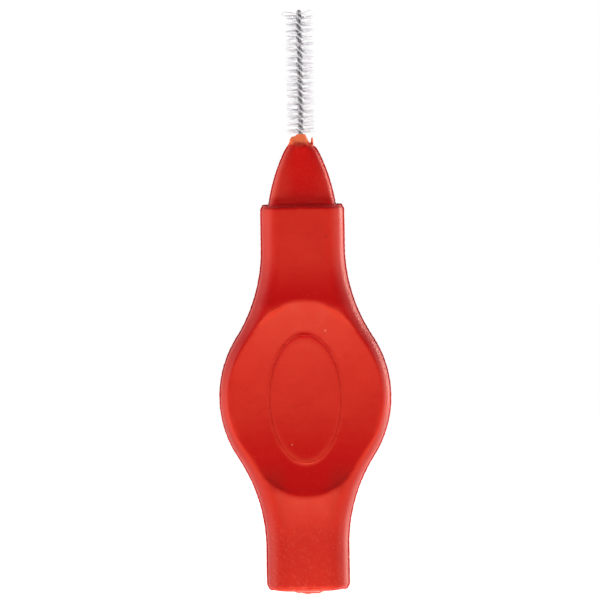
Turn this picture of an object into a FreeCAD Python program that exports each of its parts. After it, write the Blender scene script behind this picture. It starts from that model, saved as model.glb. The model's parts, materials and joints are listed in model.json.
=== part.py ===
import FreeCAD, Part
import math
import os

from FreeCAD import Vector

# Interdental brush: a soft moulded handle with a dished finger pad on each face, a wire that is folded in
# half and twisted, and nylon filaments held across the wire by its twist.
# Millimetres. The origin is the middle of the tail's flat end. +Z runs up the handle to the tip of the wire,
# and the front of the handle faces -Y.

# Handle, seen from the front
PAD_WIDTH = 17.2
PAD_SIDE_RADIUS = 11.0
WAIST_RADIUS = 16.5
NECK_WIDTH = 8.4
NECK_STRAIGHT = 4.2
TAIL_WIDTH = 8.3
TAIL_STRAIGHT = 4.4

# Handle, seen from the side: a level blade, a round ramp up to the pad's rim, and the dish inside the rim
BLADE_THICKNESS = 4.8
RIM_RISE = 0.4
CREST_INSET = 0.5
RAMP_LENGTH = 4.6
CREST_RADIUS = 3.0
DISH_DEPTH = 1.1
DISH_RADIUS = 45.0
DISH_END_RADIUS = 4.5
DISH_DROP = 0.2
RIM_WIDTH = 0.8

# Raised oval on the floor of each dish
OVAL_LENGTH = 12.8
OVAL_WIDTH = 7.1
OVAL_HEIGHT = 0.12

# Rounded edges of the handle
LONG_EDGE_RADIUS = 2.2
SHOULDER_EDGE_RADIUS = 0.4
TAIL_EDGE_RADIUS = 0.5

# Nose, and the collar that seals the wire's way out of it
NOSE_LENGTH = 6.15
NOSE_BASE_WIDTH = 6.8
NOSE_TIP_WIDTH = 2.85
NOSE_SIDE_RADIUS = 19.0
NOSE_BASE_THICKNESS = 3.7
NOSE_TIP_THICKNESS = 2.2
NOSE_EDGE_RADIUS = 0.9
NOSE_TIP_EDGE_RADIUS = 0.4
NOSE_ROOT = 1.0
COLLAR_LENGTH = 1.0
COLLAR_FLARE = 0.45
COLLAR_LIP = 0.12

# Wire core
STRAND_DIAMETER = 0.26
TWIST_PITCH = 1.33
BRUSH_LENGTH = 12.4
WIRE_EMBED = 8.0
FOLD_LEAD = 0.3
BORE_CLEARANCE = 0.02

# Filaments
FILAMENT_DIAMETER = 0.06
FILAMENT_GAP = 0.004
PINCH_CLEARANCE = 0.005
BRISTLE_DIAMETER = 2.8
ROOT_GAP = 0.08

# A rounded edge takes at most this share of the wall that it rounds
ROUNDING_LIMIT_SHARE = 0.47
# How far a shape runs past what it cuts
OVERRUN = 1.0
# Two places closer than this are the same place
SAME_PLACE = 1e-4

UP = Vector(0, 0, 1)
BACKWARDS = Vector(0, 1, 0)
RIGHT = Vector(1, 0, 0)


def waist_height(blade_width):
    """Height from the middle of the pad at which the hollow flank runs into a straight blade."""
    reach = PAD_SIDE_RADIUS + WAIST_RADIUS
    across = blade_width / 2 + WAIST_RADIUS + PAD_SIDE_RADIUS - PAD_WIDTH / 2
    return math.sqrt(reach ** 2 - across ** 2)


# Heights along the handle and the wire
PAD_Z = waist_height(TAIL_WIDTH) + TAIL_STRAIGHT
DISH_Z = PAD_Z - DISH_DROP
SHOULDER_Z = PAD_Z + waist_height(NECK_WIDTH) + NECK_STRAIGHT
NOSE_TIP_Z = SHOULDER_Z + NOSE_LENGTH
COLLAR_Z = NOSE_TIP_Z + COLLAR_LENGTH
WIRE_TIP_Z = COLLAR_Z + BRUSH_LENGTH
WIRE_END_Z = COLLAR_Z - WIRE_EMBED

# Distances of the handle's faces from its middle plane
BLADE_FACE = BLADE_THICKNESS / 2
RIM_FACE = BLADE_FACE + RIM_RISE
DISH_FLOOR = RIM_FACE - DISH_DEPTH

# Sizes of the twist, which opens just far enough to let a filament through
STRAND_RADIUS = STRAND_DIAMETER / 2
HELIX_RADIUS = (STRAND_DIAMETER + FILAMENT_DIAMETER) / 2 + PINCH_CLEARANCE
TWIST_RADIUS = HELIX_RADIUS + STRAND_RADIUS
BORE_RADIUS = TWIST_RADIUS + BORE_CLEARANCE
ROW_PITCH = TWIST_PITCH / 2
FOLD_Z = WIRE_TIP_Z - TWIST_RADIUS
TWIST_TOP_Z = FOLD_Z - FOLD_LEAD
FIRST_FILAMENT_Z = COLLAR_Z + ROOT_GAP


def line(start, end):
    return Part.LineSegment(start, end).toShape()


def arc_about(centre, start, end):
    """The shorter arc from start to end about a centre, in any plane."""
    halfway = ((start - centre) + (end - centre)).normalize()
    return Part.Arc(start, centre + halfway * (start - centre).Length, end).toShape()


def face_within(edges):
    return Part.Face(Part.Wire(Part.__sortEdges__(edges)))


def drawn_out(edges, direction, length):
    """The closed outline as a prism that reaches equally far to both sides of its plane."""
    solid = face_within(edges).extrude(direction * length)
    solid.translate(direction * (-length / 2))
    return solid


def is_wall(face):
    """Whether a face stands square to the handle's middle plane."""
    u_low, u_high, v_low, v_high = face.ParameterRange
    normal = face.normalAt((u_low + u_high) / 2, (v_low + v_high) / 2)
    return abs(normal.y) < SAME_PLACE


def long_edges(solid):
    """Edges that run along the solid between a side wall and the front or back."""
    found = []
    for edge in solid.Edges:
        walls = [is_wall(face) for face in solid.ancestorsOfType(edge, Part.Face)]
        if edge.BoundBox.ZLength > SAME_PLACE and any(walls) and not all(walls):
            found.append(edge)
    return found


def end_edges(solid, height):
    """Edges round the flat end at a height."""
    return [edge for edge in solid.Edges
            if abs(edge.BoundBox.ZMin - height) < SAME_PLACE and edge.BoundBox.ZLength < SAME_PLACE]


def rounded(solid, radius, wall, edges):
    """Rounds edges with a radius that the wall can hold."""
    return solid.makeFillet(min(radius, ROUNDING_LIMIT_SHARE * wall), edges)


# Handle

def flank(side, blade_width, upwards, end_z):
    """One side of the pad from its middle to a blade's end: the bulge, the hollow waist and the straight."""
    widest = Vector(side * PAD_WIDTH / 2, 0, PAD_Z)
    bulge_centre = widest - RIGHT * side * PAD_SIDE_RADIUS
    blade = Vector(side * blade_width / 2, 0, PAD_Z + upwards * waist_height(blade_width))
    waist_centre = blade + RIGHT * side * WAIST_RADIUS
    meeting = bulge_centre + (waist_centre - bulge_centre).normalize() * PAD_SIDE_RADIUS
    corner = Vector(blade.x, 0, end_z)
    return [arc_about(bulge_centre, widest, meeting), arc_about(waist_centre, meeting, blade),
            line(blade, corner), line(corner, UP * end_z)]


def front_outline():
    """The handle from the tail's end to the shoulder, in its middle plane."""
    edges = []
    for side in (-1, 1):
        edges += flank(side, NECK_WIDTH, 1, SHOULDER_Z)
        edges += flank(side, TAIL_WIDTH, -1, 0)
    return edges


def rim_outline():
    """Half of the section through a dish and a blade, from the dish's middle outwards: the level crest,
    its rounded brow, the hollow ramp and the level blade."""
    dish_reach = math.sqrt(DISH_RADIUS ** 2 - (DISH_RADIUS - DISH_DEPTH) ** 2)
    crest_z = DISH_Z + dish_reach - CREST_INSET
    ramp_reach = (RAMP_LENGTH ** 2 + RIM_RISE ** 2) / (2 * RIM_RISE)
    blade_end_z = DISH_Z + SHOULDER_Z
    edges = []
    for face in (-1, 1):
        middle = Vector(0, face * RIM_FACE, DISH_Z)
        crest = Vector(0, face * RIM_FACE, crest_z)
        crest_centre = crest - BACKWARDS * face * CREST_RADIUS
        foot = Vector(0, face * BLADE_FACE, crest_z + RAMP_LENGTH)
        ramp_centre = foot + BACKWARDS * face * (ramp_reach - CREST_RADIUS)
        meeting = crest_centre + (ramp_centre - crest_centre).normalize() * CREST_RADIUS
        blade_end = Vector(0, foot.y, blade_end_z)
        edges += [line(UP * DISH_Z, middle), line(middle, crest), arc_about(crest_centre, crest, meeting),
                  arc_about(ramp_centre, meeting, foot), line(foot, blade_end),
                  line(blade_end, UP * blade_end_z)]
    return edges


def plate():
    """Neck, pad and tail as one rounded plate that isn't dished yet."""
    plan = drawn_out(front_outline(), BACKWARDS, 2 * (RIM_FACE + OVERRUN))
    turned = face_within(rim_outline()).revolve(UP * DISH_Z, BACKWARDS, 360)
    solid = plan.common(turned).removeSplitter()
    solid = rounded(solid, LONG_EDGE_RADIUS, BLADE_THICKNESS, long_edges(solid))
    solid = rounded(solid, SHOULDER_EDGE_RADIUS, BLADE_THICKNESS, end_edges(solid, SHOULDER_Z))
    return rounded(solid, TAIL_EDGE_RADIUS, BLADE_THICKNESS, end_edges(solid, 0))


def dish_outline():
    """Outline of a dish: the pad's bulging sides, set in by the rim's width, and the two rounder ends."""
    side_radius = PAD_SIDE_RADIUS - RIM_WIDTH
    edges = []
    for side in (-1, 1):
        side_centre = Vector(side * (PAD_WIDTH / 2 - PAD_SIDE_RADIUS), 0, DISH_Z)
        widest = side_centre + RIGHT * side * side_radius
        rise = math.sqrt((side_radius - DISH_END_RADIUS) ** 2 - side_centre.x ** 2)
        for upwards in (-1, 1):
            end_centre = UP * (DISH_Z + upwards * rise)
            meeting = end_centre + (end_centre - side_centre).normalize() * DISH_END_RADIUS
            end = end_centre + UP * upwards * DISH_END_RADIUS
            edges += [arc_about(side_centre, widest, meeting), arc_about(end_centre, meeting, end)]
    return edges


def dish(face):
    """What is scooped out of one face: a shallow ball-shaped dish whose floor keeps a raised oval."""
    def ball(floor):
        return Part.makeSphere(DISH_RADIUS, Vector(0, face * (floor + DISH_RADIUS), DISH_Z))

    oval = Part.Ellipse(UP * (OVAL_LENGTH / 2), RIGHT * (OVAL_WIDTH / 2), Vector(0, 0, 0)).toShape()
    column = Part.Face(Part.Wire(oval)).extrude(BACKWARDS * face * (RIM_FACE + OVERRUN))
    column.translate(UP * DISH_Z)
    scoop = ball(DISH_FLOOR).cut(column).fuse(ball(DISH_FLOOR + OVAL_HEIGHT).common(column))
    return scoop.common(face_within(dish_outline()).extrude(BACKWARDS * face * (RIM_FACE + OVERRUN)))


def nose():
    """The nose: bulging sides and straight tapering faces, from inside the neck to its blunt tip."""
    root_z = SHOULDER_Z - NOSE_ROOT
    plan_edges = []
    for side in (-1, 1):
        base = Vector(side * NOSE_BASE_WIDTH / 2, 0, SHOULDER_Z)
        tip = Vector(side * NOSE_TIP_WIDTH / 2, 0, NOSE_TIP_Z)
        chord = tip - base
        inwards = BACKWARDS.cross(chord).normalize() * -side
        centre = base + chord / 2 + inwards * math.sqrt(NOSE_SIDE_RADIUS ** 2 - (chord.Length / 2) ** 2)
        root_x = centre.x + side * math.sqrt(NOSE_SIDE_RADIUS ** 2 - (root_z - centre.z) ** 2)
        root = Vector(root_x, 0, root_z)
        plan_edges += [arc_about(centre, root, tip), line(root, UP * root_z), line(tip, UP * NOSE_TIP_Z)]
    taper = (NOSE_BASE_THICKNESS - NOSE_TIP_THICKNESS) / 2 / NOSE_LENGTH
    root_face = NOSE_BASE_THICKNESS / 2 + taper * NOSE_ROOT
    side_edges = []
    for face in (-1, 1):
        root = Vector(0, face * root_face, root_z)
        tip = Vector(0, face * NOSE_TIP_THICKNESS / 2, NOSE_TIP_Z)
        side_edges += [line(root, tip), line(root, UP * root_z), line(tip, UP * NOSE_TIP_Z)]
    solid = drawn_out(plan_edges, BACKWARDS, 2 * (root_face + OVERRUN))
    solid = solid.common(drawn_out(side_edges, RIGHT, 2 * (NOSE_BASE_WIDTH + OVERRUN))).removeSplitter()
    tip_wall = min(NOSE_TIP_THICKNESS, NOSE_TIP_WIDTH)
    solid = rounded(solid, NOSE_EDGE_RADIUS, tip_wall, long_edges(solid))
    return rounded(solid, NOSE_TIP_EDGE_RADIUS, tip_wall, end_edges(solid, NOSE_TIP_Z))


def collar():
    """The cone of moulding round the wire, with a root that reaches below the nose's rounded tip."""
    lip_radius = BORE_RADIUS + COLLAR_LIP
    base_radius = lip_radius + COLLAR_FLARE
    root = Part.makeCylinder(base_radius, NOSE_TIP_EDGE_RADIUS, UP * (NOSE_TIP_Z - NOSE_TIP_EDGE_RADIUS))
    return Part.makeCone(base_radius, lip_radius, COLLAR_LENGTH, UP * NOSE_TIP_Z).fuse(root)


def handle():
    """The whole moulding, with the blind hole that the wire's buried end fills."""
    solid = plate().cut(dish(-1)).cut(dish(1))
    solid = solid.fuse(nose()).fuse(collar())
    bore_z = WIRE_END_Z - STRAND_DIAMETER
    bore = Part.makeCylinder(BORE_RADIUS, COLLAR_Z + OVERRUN - bore_z, UP * bore_z)
    return solid.cut(bore).removeSplitter().Solids[0]


# Wire core

def twist(height):
    """The first strand's direction from the axis at a height, and how fast it turns there. The twist is
    left-handed, and it slows down over the lead to the fold, whose plane is the handle's middle plane."""
    rate = 2 * math.pi / TWIST_PITCH
    lead_turn = rate * FOLD_LEAD / 2
    if height <= TWIST_TOP_Z:
        return lead_turn + rate * (TWIST_TOP_Z - height), -rate
    to_go = (FOLD_Z - height) / FOLD_LEAD
    return lead_turn * to_go ** 2, -rate * to_go


def strand_at(height):
    """A point on the first strand's centre line and the line's direction there."""
    angle, turning = twist(height)
    outwards = Vector(math.cos(angle), math.sin(angle), 0)
    around = Vector(-math.sin(angle), math.cos(angle), 0)
    direction = around * (HELIX_RADIUS * turning) + UP
    return outwards * HELIX_RADIUS + UP * height, direction.normalize()


def arc_leaving(start, direction, end):
    """The arc that leaves start in a direction and reaches end."""
    chord = end - start
    along = Vector(chord).normalize()
    aside = direction - along * direction.dot(along)
    bow = math.atan2(aside.Length, direction.dot(along))
    return Part.Arc(start, start + chord / 2 + aside.normalize() * (chord.Length / 2 * math.tan(bow / 2)),
                    end).toShape()


def two_arcs(low, high):
    """Two arcs, tangent where they meet, that follow the first strand from one height to another."""
    start, leaving = strand_at(low)
    end, arriving = strand_at(high)
    chord = end - start
    spread = 2 * (1 - leaving.dot(arriving))
    along = chord.dot(leaving + arriving)
    reach = (math.sqrt(along ** 2 + spread * chord.dot(chord)) - along) / spread
    before = start + leaving * reach
    after = end - arriving * reach
    meeting = (before + after) / 2
    return [arc_leaving(start, leaving, meeting), arc_leaving(meeting, (after - before).normalize(), end)]


def twisted_wire():
    """Both strands and the fold between them as one unbroken round wire, in steps of up to a quarter turn."""
    steps = math.ceil((TWIST_TOP_Z - WIRE_END_Z) / (TWIST_PITCH / 4))
    heights = [WIRE_END_Z + (TWIST_TOP_Z - WIRE_END_Z) * step / steps for step in range(steps + 1)]
    going_up = []
    for low, high in zip(heights, heights[1:] + [FOLD_Z]):
        going_up += two_arcs(low, high)
    foot, _ = strand_at(FOLD_Z)
    going_up.append(arc_about(UP * FOLD_Z, foot, UP * (FOLD_Z + HELIX_RADIUS)))
    coming_down = [edge.rotated(Vector(0, 0, 0), UP, 180) for edge in reversed(going_up)]
    pipe = Part.BRepOffsetAPI.MakePipeShell(Part.Wire(going_up + coming_down))
    pipe.add(Part.Wire(Part.makeCircle(STRAND_RADIUS, *strand_at(WIRE_END_Z))))
    pipe.build()
    pipe.makeSolid()
    return pipe.shape()


# Filaments

def filament(height):
    """One straight fibre through the gap between the strands, square to the line that joins them."""
    angle, _ = twist(height)
    across = Vector(-math.sin(angle), math.cos(angle), 0)
    start = UP * height - across * (BRISTLE_DIAMETER / 2)
    return Part.makeCylinder(FILAMENT_DIAMETER / 2, BRISTLE_DIAMETER, start, across)


def bristle_rows():
    """Rows from the collar upwards, each one with the filaments of half a turn of the twist."""
    row_count = int((FOLD_Z - FIRST_FILAMENT_Z) / ROW_PITCH)
    row_filaments = int(ROW_PITCH / (FILAMENT_DIAMETER + FILAMENT_GAP))
    spacing = ROW_PITCH / row_filaments
    rows = []
    for row in range(row_count):
        bottom = FIRST_FILAMENT_Z + row * ROW_PITCH + spacing / 2
        rows.append(Part.makeCompound([filament(bottom + place * spacing) for place in range(row_filaments)]))
    return rows


os.makedirs("parts", exist_ok=True)
nodes = {"handle": handle(), "twisted_wire": twisted_wire()}
for number, row in enumerate(bristle_rows(), 1):
    nodes[f"bristle_row_{number:02d}"] = row
for name, shape in nodes.items():
    shape.exportStep(f"parts/{name}.step")
    print(name, len(shape.Solids), "solids, valid", shape.isValid(), "volume", round(shape.Volume, 3))
print("pad", round(PAD_Z, 3), "shoulder", round(SHOULDER_Z, 3), "collar", round(COLLAR_Z, 3),
      "tip", round(WIRE_TIP_Z, 3))
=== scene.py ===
import json
import math
import random

import bpy
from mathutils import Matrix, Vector

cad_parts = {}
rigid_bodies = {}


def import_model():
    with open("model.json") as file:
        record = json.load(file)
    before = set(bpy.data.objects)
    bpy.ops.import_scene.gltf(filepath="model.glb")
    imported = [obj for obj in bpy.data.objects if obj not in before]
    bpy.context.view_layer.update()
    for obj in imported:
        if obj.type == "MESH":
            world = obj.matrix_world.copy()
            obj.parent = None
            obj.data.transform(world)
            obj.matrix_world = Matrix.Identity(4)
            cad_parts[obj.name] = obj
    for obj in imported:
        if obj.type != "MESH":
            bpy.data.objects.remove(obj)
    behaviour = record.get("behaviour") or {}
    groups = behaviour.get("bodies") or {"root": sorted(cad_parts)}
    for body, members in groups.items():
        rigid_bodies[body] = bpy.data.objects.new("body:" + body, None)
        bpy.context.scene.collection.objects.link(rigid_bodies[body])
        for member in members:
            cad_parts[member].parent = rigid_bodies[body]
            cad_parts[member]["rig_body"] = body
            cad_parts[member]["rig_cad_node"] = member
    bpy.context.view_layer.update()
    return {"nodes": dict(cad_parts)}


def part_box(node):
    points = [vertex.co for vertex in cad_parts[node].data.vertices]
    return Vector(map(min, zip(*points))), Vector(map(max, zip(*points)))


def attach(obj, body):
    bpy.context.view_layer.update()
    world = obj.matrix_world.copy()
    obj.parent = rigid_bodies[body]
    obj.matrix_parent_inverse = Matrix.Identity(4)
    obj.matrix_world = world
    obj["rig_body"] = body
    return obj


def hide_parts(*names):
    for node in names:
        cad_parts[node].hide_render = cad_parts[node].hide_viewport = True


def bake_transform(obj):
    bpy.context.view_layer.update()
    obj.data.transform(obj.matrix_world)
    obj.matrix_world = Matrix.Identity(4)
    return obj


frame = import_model()


# Handle
# One injection moulding in soft red elastomer, gated at the foot of the tail and moulded round the wire,
# which its nose grips. The two halves of the mould meet in the middle plane, where they leave a fine seam.
# Round the wire's exit and at the gate the moulding has torn flash that nobody trimmed.

MM = 0.001
MERGE_GAP = 0.001 * MM
HANDLE_CELL = 0.14 * MM
DISH_Z = 19.198 * MM
DISH_FLOOR = 1.7 * MM
DISH_RADIUS = 45 * MM
OVAL_HALF_WIDTH = 3.55 * MM
OVAL_HALF_LENGTH = 6.4 * MM
OVAL_HEIGHT = 0.13 * MM
OVAL_RINGS = 14
TAIL_HALF_WIDTH = 4.15 * MM
COLLAR_TOP_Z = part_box("handle")[1].z
NOSE_TIP_Z = COLLAR_TOP_Z - 1.0 * MM


def edit(piece):
    """Opens a piece in edit mode with nothing selected."""
    bpy.ops.object.select_all(action="DESELECT")
    piece.select_set(True)
    bpy.context.view_layer.objects.active = piece
    bpy.ops.object.mode_set(mode="EDIT")
    bpy.ops.mesh.select_mode(type="VERT")
    bpy.ops.mesh.select_all(action="DESELECT")


def select_points(piece, wanted):
    """Selects, in edit mode, just the points whose place passes the test."""
    bpy.ops.mesh.select_mode(type="VERT")
    bpy.ops.mesh.select_all(action="DESELECT")
    bpy.ops.object.mode_set(mode="OBJECT")
    for point in piece.data.vertices:
        point.select = wanted(point.co)
    bpy.ops.object.mode_set(mode="EDIT")


def close(piece):
    """Leaves edit mode and settles the piece's place into its mesh."""
    bpy.ops.object.mode_set(mode="OBJECT")
    bpy.ops.object.transform_apply(location=True, rotation=True, scale=True)
    return piece


def copy_of_node(node_name, piece_name):
    """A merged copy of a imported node's mesh, which is the start of a new piece."""
    bpy.ops.object.select_all(action="DESELECT")
    node = frame["nodes"][node_name]
    node.select_set(True)
    bpy.context.view_layer.objects.active = node
    bpy.ops.object.duplicate()
    bpy.ops.object.parent_clear(type="CLEAR_KEEP_TRANSFORM")
    piece = bpy.context.object
    piece.name = piece_name
    piece.data.name = piece_name
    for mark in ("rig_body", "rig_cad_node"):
        del piece[mark]
    piece.data.materials.clear()
    bpy.ops.mesh.customdata_custom_splitnormals_clear()
    edit(piece)
    bpy.ops.mesh.select_all(action="SELECT")
    bpy.ops.mesh.remove_doubles(threshold=MERGE_GAP)
    return close(piece)


def apply_modifier(piece, kind, **settings):
    """Adds one modifier, sets it and applies it."""
    bpy.ops.object.select_all(action="DESELECT")
    piece.select_set(True)
    bpy.context.view_layer.objects.active = piece
    modifier = piece.modifiers.new(kind.lower(), kind)
    for name, value in settings.items():
        setattr(modifier, name, value)
    bpy.ops.object.modifier_apply(modifier=modifier.name)


def join(piece, *others):
    """Makes the other pieces part of the first one's mesh."""
    bpy.ops.object.select_all(action="DESELECT")
    for other in others:
        other.select_set(True)
    piece.select_set(True)
    bpy.context.view_layer.objects.active = piece
    bpy.ops.object.join()


def lump(place, size, lean):
    """A rough pip of flash: a block with its edges rounded and its top drawn in and pulled to one side."""
    bpy.ops.object.select_all(action="DESELECT")
    bpy.ops.mesh.primitive_cube_add(size=1, location=place, scale=size)
    piece = bpy.context.object
    bpy.ops.object.transform_apply(location=True, rotation=True, scale=True)
    edit(piece)
    bpy.ops.mesh.select_all(action="SELECT")
    bpy.ops.mesh.bevel(offset=0.3 * min(size), segments=3)
    select_points(piece, lambda point: point.z > place[2] + 0.2 * size[2])
    bpy.ops.transform.resize(value=(0.75, 0.75, 1), center_override=place)
    bpy.ops.transform.translate(value=lean)
    return close(piece)


handle = copy_of_node("handle", "grip_handle")

# Torn flash stands on the left of the collar, and the gate left ragged pips under the tail.
skirt = lump(
    (-0.68 * MM, -0.1 * MM, NOSE_TIP_Z + 0.38 * MM), (1.05 * MM, 0.95 * MM, 0.72 * MM), (0.02 * MM, 0, 0))
gate_pips = [
    lump((-0.85 * MM, -0.35 * MM, 0.04 * MM), (0.7 * MM, 0.9 * MM, 0.3 * MM), (0.1 * MM, 0, 0)),
    lump((-0.05 * MM, -0.3 * MM, 0), (0.75 * MM, 1.3 * MM, 0.4 * MM), (-0.1 * MM, 0.1 * MM, 0)),
    lump((0.8 * MM, -0.3 * MM, 0.02 * MM), (0.95 * MM, 1.0 * MM, 0.34 * MM), (0.05 * MM, 0, 0)),
]
join(handle, skirt, *gate_pips)
apply_modifier(handle, "REMESH", mode="VOXEL", voxel_size=HANDLE_CELL, adaptivity=0)
apply_modifier(handle, "SMOOTH", factor=0.5, iterations=4)


def pull(piece, near, by, reach):
    """Pulls the surface nearest a place, and fades the pull out over its reach."""
    nearest = min(piece.data.vertices, key=lambda point: (point.co - Vector(near)).length).index
    edit(piece)
    bpy.ops.object.mode_set(mode="OBJECT")
    piece.data.vertices[nearest].select = True
    bpy.ops.object.mode_set(mode="EDIT")
    bpy.ops.transform.translate(
        value=by, use_proportional_edit=True, proportional_edit_falloff="SMOOTH", proportional_size=reach)
    close(piece)


# The foot of the tail is a little rounder than a straight cut.
for side in (-1, 1):
    pull(handle, (side * TAIL_HALF_WIDTH, 0, 0), (0, 0, 0.22 * MM), 3.2 * MM)


def soft_step(value, start, end):
    """0 before the start and 1 after the end, with a soft change between them."""
    share = min(max((value - start) / (end - start), 0), 1)
    return share * share * (3 - 2 * share)


def weigh(piece, name, weight):
    """A group of the piece's points, each with the weight that the test gives it."""
    group = piece.vertex_groups.new(name=name)
    for point in piece.data.vertices:
        amount = weight(point)
        if amount > 0:
            group.add([point.index], amount, "REPLACE")
    return name


def on_rim(point):
    """How far a point belongs to the soft rim round a dish."""
    x, y, z = point.co
    from_middle = math.hypot(x, z - DISH_Z)
    band = soft_step(from_middle, 6.8 * MM, 7.4 * MM) * soft_step(from_middle, 12.5 * MM, 10.5 * MM)
    return band * soft_step(abs(y), 1.5 * MM, 2.1 * MM)


apply_modifier(handle, "SMOOTH", factor=0.5, iterations=14, vertex_group=weigh(handle, "rim", on_rim))


def on_nose(point):
    """How far a point belongs to the nose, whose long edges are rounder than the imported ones."""
    x, y, z = point.co
    along = soft_step(z, 38.9 * MM, 39.6 * MM) * soft_step(z, 45.0 * MM, 44.6 * MM)
    return along * soft_step(abs(x), 0.5 * MM, 1.0 * MM)


apply_modifier(handle, "SMOOTH", factor=0.5, iterations=140, vertex_group=weigh(handle, "nose", on_nose))


def oval_panel(face):
    """The raised oval in a dish: a disc in rings, cast to the dish's hollow, with a crisp edge."""
    bpy.ops.object.select_all(action="DESELECT")
    bpy.ops.mesh.primitive_circle_add(
        vertices=120, radius=1, fill_type="NGON", rotation=(math.radians(90), 0, 0))
    piece = bpy.context.object
    bpy.ops.object.transform_apply(location=True, rotation=True, scale=True)
    edit(piece)
    bpy.ops.mesh.select_all(action="SELECT")
    for ring in range(OVAL_RINGS):
        bpy.ops.mesh.inset(thickness=1 / (OVAL_RINGS + 1))
    bpy.ops.mesh.poke()
    bpy.ops.mesh.select_all(action="SELECT")
    bpy.ops.transform.resize(value=(OVAL_HALF_WIDTH, 1, OVAL_HALF_LENGTH), center_override=(0, 0, 0))
    bpy.ops.transform.translate(value=(0, -face * DISH_RADIUS, 0))
    bpy.ops.object.mode_set(mode="OBJECT")
    apply_modifier(piece, "CAST", cast_type="SPHERE", factor=1, size=DISH_RADIUS, use_radius_as_size=False)
    piece.location = (0, face * (DISH_FLOOR + OVAL_HEIGHT + DISH_RADIUS), DISH_Z)
    close(piece)
    edit(piece)
    bpy.ops.mesh.select_all(action="SELECT")
    bpy.ops.mesh.extrude_region_move(TRANSFORM_OT_translate={"value": (0, -face * 0.6 * MM, 0)})
    bpy.ops.mesh.select_all(action="SELECT")
    bpy.ops.mesh.normals_make_consistent(inside=False)
    return close(piece)


def spike():
    """A thread of flash that stands on the right of the nose's tip."""
    foot = (1.06 * MM, -0.12 * MM, NOSE_TIP_Z + 0.1 * MM)
    bpy.ops.object.select_all(action="DESELECT")
    bpy.ops.mesh.primitive_cylinder_add(vertices=12, radius=0.09 * MM, depth=1.0 * MM, location=foot)
    piece = bpy.context.object
    bpy.ops.object.transform_apply(location=True, rotation=True, scale=True)
    edit(piece)
    select_points(piece, lambda point: point.z > foot[2])
    bpy.ops.mesh.bevel(offset=0.05 * MM, segments=2)
    select_points(piece, lambda point: point.z > foot[2] + 0.3 * MM)
    bpy.ops.transform.translate(value=(0.05 * MM, 0, 0))
    select_points(piece, lambda point: point.z < foot[2] - 0.3 * MM)
    bpy.ops.transform.resize(value=(2.2, 2.2, 1), center_override=foot)
    return close(piece)


for added in (oval_panel(-1), oval_panel(1), spike()):
    apply_modifier(handle, "BOOLEAN", operation="UNION", solver="EXACT", object=added)
    bpy.data.objects.remove(added)

# The seam is a thin ragged fin of flash all round the middle plane, but not in the wire's hole. The sides
# beside it sit a little lower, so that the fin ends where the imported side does.
FIN_HEIGHT = 0.13 * MM
FIN_HALF_WIDTH = 0.06 * MM
FIN_FOOT = 0.09 * MM
FIN_RAGGEDNESS = 0.03 * MM


def outside(place):
    """Whether a place is on the handle's outside, below the collar and clear of the wire's hole."""
    clear_of_hole = abs(place.x) > 0.6 * MM or place.z < 30 * MM
    return clear_of_hole and place.z < NOSE_TIP_Z - 0.2 * MM


def on_side(point):
    """How far a point of the outside faces sideways. The tail's foot and the shoulder don't count."""
    if not outside(point.co):
        return 0
    return (1 - point.normal.y ** 2) * soft_step(abs(point.normal.z), 0.95, 0.8)


def on_fin(place):
    """Whether a place of the outside is within the fin's width."""
    return outside(place) and abs(place.y) < FIN_HALF_WIDTH + MERGE_GAP


apply_modifier(
    handle, "DISPLACE", strength=-FIN_HEIGHT, mid_level=0, vertex_group=weigh(handle, "sides", on_side))
edit(handle)
for cut in (-FIN_FOOT, -FIN_HALF_WIDTH, FIN_HALF_WIDTH, FIN_FOOT):
    bpy.ops.mesh.select_all(action="SELECT")
    bpy.ops.mesh.bisect(plane_co=(0, cut, 0), plane_no=(0, 1, 0), threshold=0.1 * MERGE_GAP)
select_points(handle, on_fin)
bpy.ops.transform.shrink_fatten(value=FIN_HEIGHT)
bpy.ops.transform.vertex_random(offset=FIN_RAGGEDNESS, normal=1, seed=7)
close(handle)
handle.select_set(True)
bpy.ops.object.shade_smooth_by_angle(angle=math.radians(40))


def keep_slope(piece, name, slope):
    """Stores a number at each point of the piece, worked out from its normal, for the material."""
    kept = piece.data.attributes.new(name, "FLOAT", "POINT")
    kept.data.foreach_set("value", [slope(point.normal) for point in piece.data.vertices])


# How far the front and back slope up, where the sides count as level, and how far the sides turn down,
# for the painted light and shade in the material.
keep_slope(handle, "upturn", lambda normal: normal.z * normal.y ** 2)
keep_slope(handle, "underside", lambda normal: max(-normal.z, 0) * (1 - normal.y ** 2))


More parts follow.
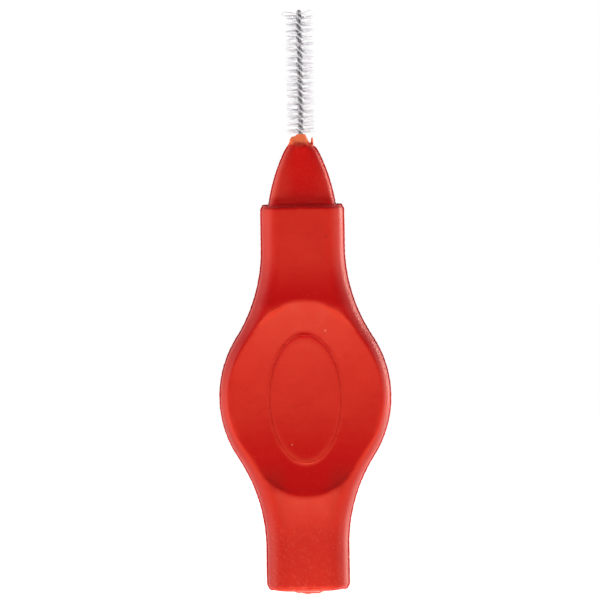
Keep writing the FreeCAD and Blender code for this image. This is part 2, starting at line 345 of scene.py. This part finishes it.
class Value:
    """One output in a material's nodes. A sum written on values adds its Math nodes."""

    def __init__(self, tree, socket):
        self.tree = tree
        self.socket = socket

    def node(self, kind, settings, sockets, output=0):
        """Adds a node, sets it, then fills its sockets with numbers, colours or links."""
        made = self.tree.nodes.new(kind)
        for name, setting in settings.items():
            setattr(made, name, setting)
        for name, filling in sockets.items():
            if isinstance(filling, Value):
                self.tree.links.new(filling.socket, made.inputs[name])
            else:
                made.inputs[name].default_value = filling
        return Value(self.tree, made.outputs[output])

    def maths(self, operation, *terms):
        return self.node("ShaderNodeMath", {"operation": operation}, dict(enumerate(terms)))

    def __add__(self, other):
        return self.maths("ADD", self, other)

    def __sub__(self, other):
        return self.maths("SUBTRACT", self, other)

    def __rsub__(self, other):
        return self.maths("SUBTRACT", other, self)

    def __mul__(self, other):
        return self.maths("MULTIPLY", self, other)

    def __truediv__(self, other):
        return self.maths("DIVIDE", self, other)

    def __abs__(self):
        return self.maths("ABSOLUTE", self)

    __radd__ = __add__
    __rmul__ = __mul__

    def across(self, other):
        """How far it is to go this far one way and that far at right angles to it."""
        return self.maths("SQRT", self * self + other * other)

    def fade(self, start, end):
        """0 at the start and 1 at the end, with a soft change between them."""
        settings = {"interpolation_type": "SMOOTHSTEP"}
        sockets = {"Value": self, "From Min": start, "From Max": end}
        if start > end:
            sockets = {"Value": self, "From Min": end, "From Max": start, "To Min": 1.0, "To Max": 0.0}
        return self.node("ShaderNodeMapRange", settings, sockets)

    def tint(self, plain, tinted):
        """A colour that goes from the plain one to the tinted one as the value goes from 0 to 1."""
        return self.node("ShaderNodeMix", {"data_type": "RGBA"}, {0: self, 6: plain, 7: tinted}, 2)

    def noise(self, size, detail=2.0, roughness=0.5):
        """Cloudy noise on this place, with lumps of about that size."""
        sockets = {"Vector": self, "Scale": 1 / size, "Detail": detail, "Roughness": roughness}
        return self.node("ShaderNodeTexNoise", {}, sockets)

    def stretched(self, x, y, z):
        """This place drawn out or squeezed along each axis."""
        return self.node("ShaderNodeVectorMath", {"operation": "MULTIPLY"}, {0: self, 1: (x, y, z)})


def colour(red, green, blue):
    """A colour written as a screen shows it, 0 to 255, in the light units that a shader takes."""
    linear = [((c / 255 + 0.055) / 1.055) ** 2.4 if c > 10 else c / 255 / 12.92 for c in (red, green, blue)]
    return (*linear, 1.0)


def new_finish(piece, name):
    """A fresh material on a piece: its shader node, and the place on the piece in millimetres."""
    finish = bpy.data.materials.new(name)
    finish.use_nodes = True
    tree = finish.node_tree
    shader = tree.nodes["Principled BSDF"]
    if piece.data.materials:
        for slot in piece.material_slots:
            slot.material = finish
    else:
        piece.data.materials.append(finish)
    start = Value(tree, None)
    place = start.node("ShaderNodeTexCoord", {}, {}, "Object").stretched(1000, 1000, 1000)
    return shader, place


def feed(shader, **values):
    """Links values to the shader's sockets, which are named with _ for a space."""
    for name, value in values.items():
        value.tree.links.new(value.socket, shader.inputs[name.replace("_", " ")])


def axes(place):
    """The three numbers of a place."""
    return [place.node("ShaderNodeSeparateXYZ", {}, {0: place}, i) for i in range(3)]


shader, place = new_finish(handle, "satin_elastomer")
shader.inputs["Specular IOR Level"].default_value = 0.18
shader.inputs["Subsurface Weight"].default_value = 0.3
shader.inputs["Subsurface Radius"].default_value = (1.0, 0.25, 0.12)
shader.inputs["Subsurface Scale"].default_value = 0.3 * MM
shader.inputs["Emission Strength"].default_value = 1.0
x, y, z = axes(place)
above_dish = z - DISH_Z / MM
from_dish = x.across(above_dish)
nose_tip = NOSE_TIP_Z / MM
ragged_z = z + (place.noise(0.5, 2.0) - 0.5) * 0.9

# The red is a little cloudy. Slopes that turn up are painted a deeper red, which is painted shade, and
# slopes that turn down a more orange red, which is painted light from below. The undersides of the waist
# and the foot are painted duller, which is painted shade.
cloud = place.noise(3.2, 3.0).fade(0.35, 0.68)
mottle = place.noise(0.7, 3.0).fade(0.3, 0.75)
body = (cloud * 0.6 + mottle * 0.4).tint(colour(203, 34, 22), colour(209, 43, 27))
slope_light_and_shade = place.node("ShaderNodeAttribute", {"attribute_name": "upturn"}, {}, "Fac")
body = slope_light_and_shade.fade(0.0, 0.16).tint(body, colour(203, 2, 4))
body = slope_light_and_shade.fade(0.0, -0.22).tint(body, colour(208, 50, 30))
underside_shade = place.node("ShaderNodeAttribute", {"attribute_name": "underside"}, {}, "Fac")
body = (underside_shade.fade(0.0, 0.28) * from_dish.fade(7.5, 8.3) * 0.85).tint(body, colour(166, 34, 26))

# The thin collar lets some light through, and on top of that is painted a pale orange with a weak glow of
# its own, which is painted light. The torn gate at the foot is painted paler, which is painted light from
# below.
collar_painted_light = ragged_z.fade(nose_tip - 0.35, nose_tip + 0.35)
body = (collar_painted_light * 0.9).tint(body, colour(255, 138, 88))
glow = (collar_painted_light * 0.9).tint((0, 0, 0, 1), (0.22, 0.03, 0.015, 1))
gate_painted_light = ragged_z.fade(0.35, -0.1)
body = (gate_painted_light * 0.5).tint(body, colour(238, 104, 76))

# A few dark specks are moulded in.
speck_places = {"Vector": place, "Scale": 1 / 3.1, "Randomness": 1.0}
specks = place.node("ShaderNodeTexVoronoi", {}, speck_places, "Distance")
body = specks.fade(0.022, 0.012).tint(body, colour(84, 22, 20))


def spot(at_x, at_z, size):
    """A small mark on the front of the handle, in millimetres."""
    distance = (x - at_x).across(z - at_z) + place.noise(0.15) * size * 0.6
    return distance.fade(size * 1.3, size * 0.7) * y.fade(0, -0.5)


# Marks of use and moulding: a dark speck on the neck, a nick in the oval's edge and two pale scratches.
body = (spot(2.35, 35.3, 0.1) * 0.8).tint(body, colour(90, 24, 22))
body = (spot(-2.1, 24.6, 0.13) * 0.7 + spot(-2.4, 24.3, 0.1) * 0.5).tint(body, colour(140, 8, 10))
body = (spot(2.1, 25.95, 0.16) * 0.4 + spot(-1.4, 14.65, 0.14) * 0.35).tint(body, colour(240, 150, 130))

# The nose is thin and is painted a brighter red, which is painted light. It has faint pale flecks, and is
# painted paler still towards its two edges, more on the left, which is painted sheen.
along_nose = z.fade(38.9, 39.6) * z.fade(44.9, 44.3)
body = (along_nose * 0.5).tint(body, colour(230, 16, 12))
nose_flecks = place.noise(0.32, 4.0, 0.7).fade(0.5, 0.72)
nose_edge_sheen = x.fade(-0.4, -2.8) * 0.35 + x.fade(0.8, 2.8) * 0.2
body = ((nose_flecks * 0.15 + nose_edge_sheen) * along_nose).tint(body, colour(242, 90, 70))

# Faint lines in the dish show how the material flowed into the mould.
rings = {"wave_type": "RINGS", "rings_direction": "Y"}
ring_places = {"Vector": place, "Scale": 0.21, "Distortion": 9.0, "Detail": 2.0}
swirl = place.node("ShaderNodeTexWave", rings, ring_places)
flow_lines = swirl.fade(0.93, 0.99) * place.noise(2.8, 1.0).fade(0.5, 0.6) * from_dish.fade(8.6, 7.4)
body = (flow_lines * 0.14).tint(body, colour(176, 12, 14))

# The tail is handled most, and its skin has fine pale grain, most of all at its foot. Its sides are painted
# a duller red, which is painted shade.
tail_side_shade = abs(x).fade(1.4, 3.4) * z.fade(13.5, 11.0)
body = (tail_side_shade * 0.5).tint(body, colour(178, 30, 20))
fine_grain = place.noise(0.28, 4.0, 0.75).fade(0.5, 0.72)
worn = 0.15 + z.fade(9.5, 5.0) * 0.55 + ragged_z.fade(2.2, 0.3) * 0.5
body = (fine_grain * worn * 0.4).tint(body, colour(232, 104, 84))

# A dark hairline in the corner beside the raised oval is painted shade, and the seam's fin is a darker red.
oval_x = x / (OVAL_HALF_WIDTH / MM)
oval_z = above_dish / (OVAL_HALF_LENGTH / MM)
from_oval = abs(oval_x.across(oval_z) - 1.0)
oval_corner_shade = from_oval.fade(0.02, 0.006) * abs(oval_z).fade(0.85, 0.6)
body = (oval_corner_shade * 0.4).tint(body, colour(158, 8, 10))
fin = y.fade(-0.12, -0.08) * y.fade(0.12, 0.08) * z.fade(44.6, 44.3)
body = (fin * 0.4).tint(body, colour(182, 12, 8))

# Pale scuffs lie in patches, and the nose's tip has fine folds across it.
scuff_lines = place.stretched(0.35, 1, 2.6).noise(0.5, 4.0, 0.65).fade(0.66, 0.74)
scuffs = scuff_lines * place.noise(2.4, 1.0).fade(0.52, 0.68)
body = (scuffs * 0.45).tint(body, colour(232, 118, 100))
roughness = 0.40 + place.noise(1.1, 3.0).fade(0.3, 0.7) * 0.08 + scuffs * 0.1
tip_folds = place.stretched(0.25, 1, 3.0).noise(0.5, 2.0) * z.fade(nose_tip - 1.2, nose_tip - 0.4)
grain = place.noise(0.13, 2.0) * 0.5 + place.noise(0.6, 3.0) * 0.5 + tip_folds * 2.0
bump = place.node("ShaderNodeBump", {}, {"Strength": 0.35, "Distance": 0.03 * MM, "Height": grain})
feed(shader, Base_Color=body, Roughness=roughness, Emission_Color=glow, Normal=bump)

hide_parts("handle")
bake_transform(handle)


# Wire core
# One length of stainless wire, folded in half and twisted left-handed round the filaments. The fold makes
# the small eye at the tip, and the lower end is buried in the nose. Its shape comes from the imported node.

wire = frame["nodes"]["twisted_wire"]
shader, place = new_finish(wire, "twisted_steel")
shader.inputs["Metallic"].default_value = 1.0
x, y, z = axes(place)
from_axis = x.across(y)
# The deep grooves between the strands are painted dark grey, which is painted shade.
groove_shade = from_axis.fade(0.2, 0.12)
drawn = place.stretched(1, 1, 0.25).noise(0.05, 3.0)
steel = drawn.fade(0.3, 0.7).tint(colour(166, 167, 172), colour(190, 191, 196))
steel = (groove_shade * 0.75).tint(steel, colour(74, 74, 79))
feed(shader, Base_Color=steel, Roughness=0.34 + drawn * 0.2)


# Bristles
# Fine nylon filaments, laid across the fold of the wire and caught by its twist, so that they stand out in
# a spiral of tufts. Each packed row is half a turn of that spiral, and its filaments were cut by machine.

ROW_COUNT = 18
FILAMENTS_IN_ROW = 10
FILAMENT_RADIUS = 0.03 * MM
SHOWN_RADIUS = 0.68 * FILAMENT_RADIUS
STRAY_RADIUS = 1.3 * FILAMENT_RADIUS
TURN_PER_FILAMENT = math.radians(-18)
FILAMENT_LENGTH = 2.8 * MM
FILAMENT_CUTS = 6
# How much the filaments differ from each other, in degrees.
BEND_SPREAD = 12
TILT_SPREAD = 6
TURN_SPREAD = 9
random.seed(18)

bpy.ops.object.select_all(action="DESELECT")
bpy.ops.mesh.primitive_cylinder_add(
    vertices=6, radius=SHOWN_RADIUS, depth=FILAMENT_LENGTH, rotation=(0, math.radians(90), 0))
straight_filament = bpy.context.object
bpy.ops.object.transform_apply(location=True, rotation=True, scale=True)
edit(straight_filament)
bpy.ops.mesh.select_mode(type="EDGE")
bpy.ops.object.mode_set(mode="OBJECT")
points = straight_filament.data.vertices
for side_edge in straight_filament.data.edges:
    start, end = (points[i].co for i in side_edge.vertices)
    side_edge.select = (start - end).length > FILAMENT_LENGTH / 2
bpy.ops.object.mode_set(mode="EDIT")
bpy.ops.mesh.subdivide(number_cuts=FILAMENT_CUTS)
for end in (-1, 1):
    select_points(straight_filament, lambda point: point.x * end > 0.49 * FILAMENT_LENGTH)
    bpy.ops.transform.resize(value=(1, 0.6, 0.6), center_override=(end * FILAMENT_LENGTH / 2, 0, 0))
close(straight_filament)


def filament_lines(node_name):
    """The middle and the turn about the axis of each filament in a packed row, from its own points."""
    node = frame["nodes"][node_name]
    low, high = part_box(node_name)
    step = (high.z - low.z - 2 * FILAMENT_RADIUS) / (FILAMENTS_IN_ROW - 1)
    found = []
    for number in range(FILAMENTS_IN_ROW):
        middle_z = low.z + FILAMENT_RADIUS + number * step
        level = [point.co for point in node.data.vertices
                 if abs(point.co.z - middle_z) < FILAMENT_RADIUS / 3]
        tip = max(level, key=lambda place: place.xy.length)
        found.append((middle_z, math.atan2(tip.y, tip.x)))
    return found


def bristle_row(number):
    """One half turn of filaments, in pairs, each bent and turned a little in its own way."""
    node_name = f"bristle_row_{number:02d}"
    lines = filament_lines(node_name)
    step = lines[1][0] - lines[0][0]
    pairs = [(middle_z + share * step, turn + share * TURN_PER_FILAMENT)
             for middle_z, turn in lines for share in (-0.25, 0.25)]
    strands = []
    for middle_z, turn in pairs:
        bpy.ops.object.select_all(action="DESELECT")
        straight_filament.select_set(True)
        bpy.context.view_layer.objects.active = straight_filament
        bpy.ops.object.duplicate()
        strand = bpy.context.object
        apply_modifier(strand, "SIMPLE_DEFORM", deform_method="BEND", deform_axis="Z",
                       angle=math.radians(random.gauss(0, BEND_SPREAD)))
        roll = random.uniform(0, 2 * math.pi)
        tilt = math.radians(random.gauss(0, TILT_SPREAD))
        strand.rotation_euler = (roll, tilt, turn + math.radians(random.gauss(0, TURN_SPREAD)))
        strand.scale = (random.uniform(0.95, 1.05), 1, 1)
        strand.location = (0, 0, middle_z)
        bpy.ops.object.transform_apply(location=True, rotation=True, scale=True)
        strands.append(strand)
    join(*strands)
    row = bpy.context.object
    row.name = f"bristles_{number:02d}"
    row.data.name = row.name
    bpy.ops.object.shade_smooth()
    return row


def stray(route):
    """A filament that slipped and sticks out on its own curve, along these points."""
    bpy.ops.object.select_all(action="DESELECT")
    bpy.ops.curve.primitive_nurbs_path_add()
    thread = bpy.context.object
    spline = thread.data.splines[0]
    spline.points.add(len(route) - len(spline.points))
    for point, at in zip(spline.points, route):
        point.co = (at[0] * MM, at[1] * MM, at[2] * MM, 1)
    spline.order_u = 3
    spline.use_endpoint_u = True
    thread.data.resolution_u = 4
    thread.data.bevel_depth = STRAY_RADIUS
    thread.data.bevel_resolution = 1
    thread.data.use_fill_caps = True
    bpy.ops.object.convert(target="MESH")
    return bpy.context.object


# At the tip one filament is bent back in a hairpin on the left, and another sticks up on the right.
STRAYS = [
    [(-0.05, -0.1, 57.45), (-0.5, -0.2, 57.5), (-1.1, -0.25, 57.5), (-1.6, -0.25, 57.42),
     (-1.72, -0.25, 57.62), (-1.5, -0.25, 57.84), (-1.0, -0.2, 57.82), (-0.35, -0.1, 57.7)],
    [(0.1, -0.1, 57.5), (0.4, -0.15, 57.66), (0.75, -0.2, 57.86), (1.0, -0.2, 57.98), (1.2, -0.2, 58.03)],
]

for number in range(1, ROW_COUNT + 1):
    row = bristle_row(number)
    if number == ROW_COUNT:
        join(row, *[stray(route) for route in STRAYS])
        row = bpy.context.object
    shader, place = new_finish(row, f"clear_nylon_{number:02d}")
    shader.inputs["Transmission Weight"].default_value = 0.25
    shader.inputs["IOR"].default_value = 1.53
    # Clear nylon, painted greyer at the roots, where the filaments are pressed between the strands, which
    # is painted shade.
    shine = place.noise(0.3, 2.0)
    nylon = shine.tint(colour(230, 228, 240), colour(246, 244, 251))
    x, y, z = axes(place)
    from_axis = x.across(y)
    nylon = (from_axis.fade(0.46, 0.3) * 0.9).tint(nylon, colour(176, 176, 182))
    feed(shader, Base_Color=nylon, Roughness=0.3 + shine * 0.2)
    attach(row, "brush")
    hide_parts(f"bristle_row_{number:02d}")

bpy.data.objects.remove(straight_filament)


# Floor, light and camera
# The brush stands on its tail on a plain pale floor, in soft light: a low key and a small gloss panel in
# front, panels at both sides and a weak lamp behind. The camera sees it square from the front.

FLOOR_Z = -0.35 * MM
LAMP_AIM = (0, 0, 0.025)
WARM = (1.0, 0.92, 0.8)
CAMERA_REACH = 0.5
SENSOR_WIDTH = 36
PHOTO_WIDTH = 60 * MM
PHOTO_MIDDLE = (-0.37 * MM, 29.05 * MM)
ROLL = math.radians(0.98)

bpy.ops.object.select_all(action="DESELECT")
bpy.ops.mesh.primitive_plane_add(size=40, location=(0, 0, FLOOR_Z))
floor = bpy.context.object
floor.name = "floor"
shader, place = new_finish(floor, "pale_floor")
shader.inputs["Base Color"].default_value = (0.8, 0.8, 0.8, 1)
shader.inputs["Roughness"].default_value = 0.9
shader.inputs["Specular IOR Level"].default_value = 0.0
shader.inputs["Emission Strength"].default_value = 1.0


def seen_rays(start):
    """1 for what the camera sees, straight or in a reflection or through glass, and 0 for soft light."""
    kinds = ("Camera", "Glossy", "Transmission")
    straight, mirrored, through = [
        start.node("ShaderNodeLightPath", {}, {}, f"Is {kind} Ray") for kind in kinds]
    return start.maths("MAXIMUM", start.maths("MAXIMUM", straight, mirrored), through)


feed(shader, Emission_Color=seen_rays(place).tint((0, 0, 0, 1), (0.88, 0.88, 0.88, 1)))
floor.visible_shadow = False

world = bpy.data.worlds.new("studio")
bpy.context.scene.world = world
world.use_nodes = True
backdrop = world.node_tree.nodes["Background"]
feed(backdrop, Color=seen_rays(Value(world.node_tree, None)).tint((0.17, 0.17, 0.17, 1), (1, 1, 1, 1)))


def panel(name, place, size, power, tone=(1, 1, 1)):
    """A soft rectangular lamp that faces the middle of the brush."""
    lamp = bpy.data.lights.new(name, "AREA")
    lamp.shape = "RECTANGLE"
    lamp.size, lamp.size_y = size
    lamp.energy = power
    lamp.color = tone
    stand = bpy.data.objects.new(name, lamp)
    bpy.context.scene.collection.objects.link(stand)
    stand.location = place
    aim = Vector(LAMP_AIM) - Vector(place)
    stand.rotation_euler = aim.to_track_quat("-Z", "Y").to_euler()
    stand.visible_camera = False
    return stand


# The key stands below the floor, which casts no shadow, because the brush was lit from its tail's side.
low_key = panel("low_key", (0, -0.41, -1.1), (0.4, 0.32), 15.0)
low_key.visible_glossy = False
panel("gloss_panel", (0, -0.53, -0.257), (0.2, 0.16), 1.1, (1.0, 0.9, 0.7))
panel("left_panel", (-0.35, 0.0, 0.04), (0.25, 0.4), 1.0, WARM)
panel("right_panel", (0.35, -0.06, 0.03), (0.1, 0.35), 0.5, WARM)
panel("right_strip", (0.306, 0.257, 0.03), (0.05, 0.35), 1.2, WARM)
panel("back_low", (0.1, 0.35, -0.35), (0.2, 0.2), 1.8)

camera_data = bpy.data.cameras.new("camera")
camera_data.sensor_width = SENSOR_WIDTH
camera_data.lens = SENSOR_WIDTH * CAMERA_REACH / PHOTO_WIDTH
camera_data.clip_start = 0.01
camera_data.clip_end = 40
camera = bpy.data.objects.new("camera", camera_data)
bpy.context.scene.collection.objects.link(camera)
camera.location = (PHOTO_MIDDLE[0], -CAMERA_REACH, PHOTO_MIDDLE[1])
camera.rotation_euler = (math.radians(90), ROLL, 0)
bpy.context.scene.camera = camera
bpy.context.scene.view_settings.view_transform = "Standard"
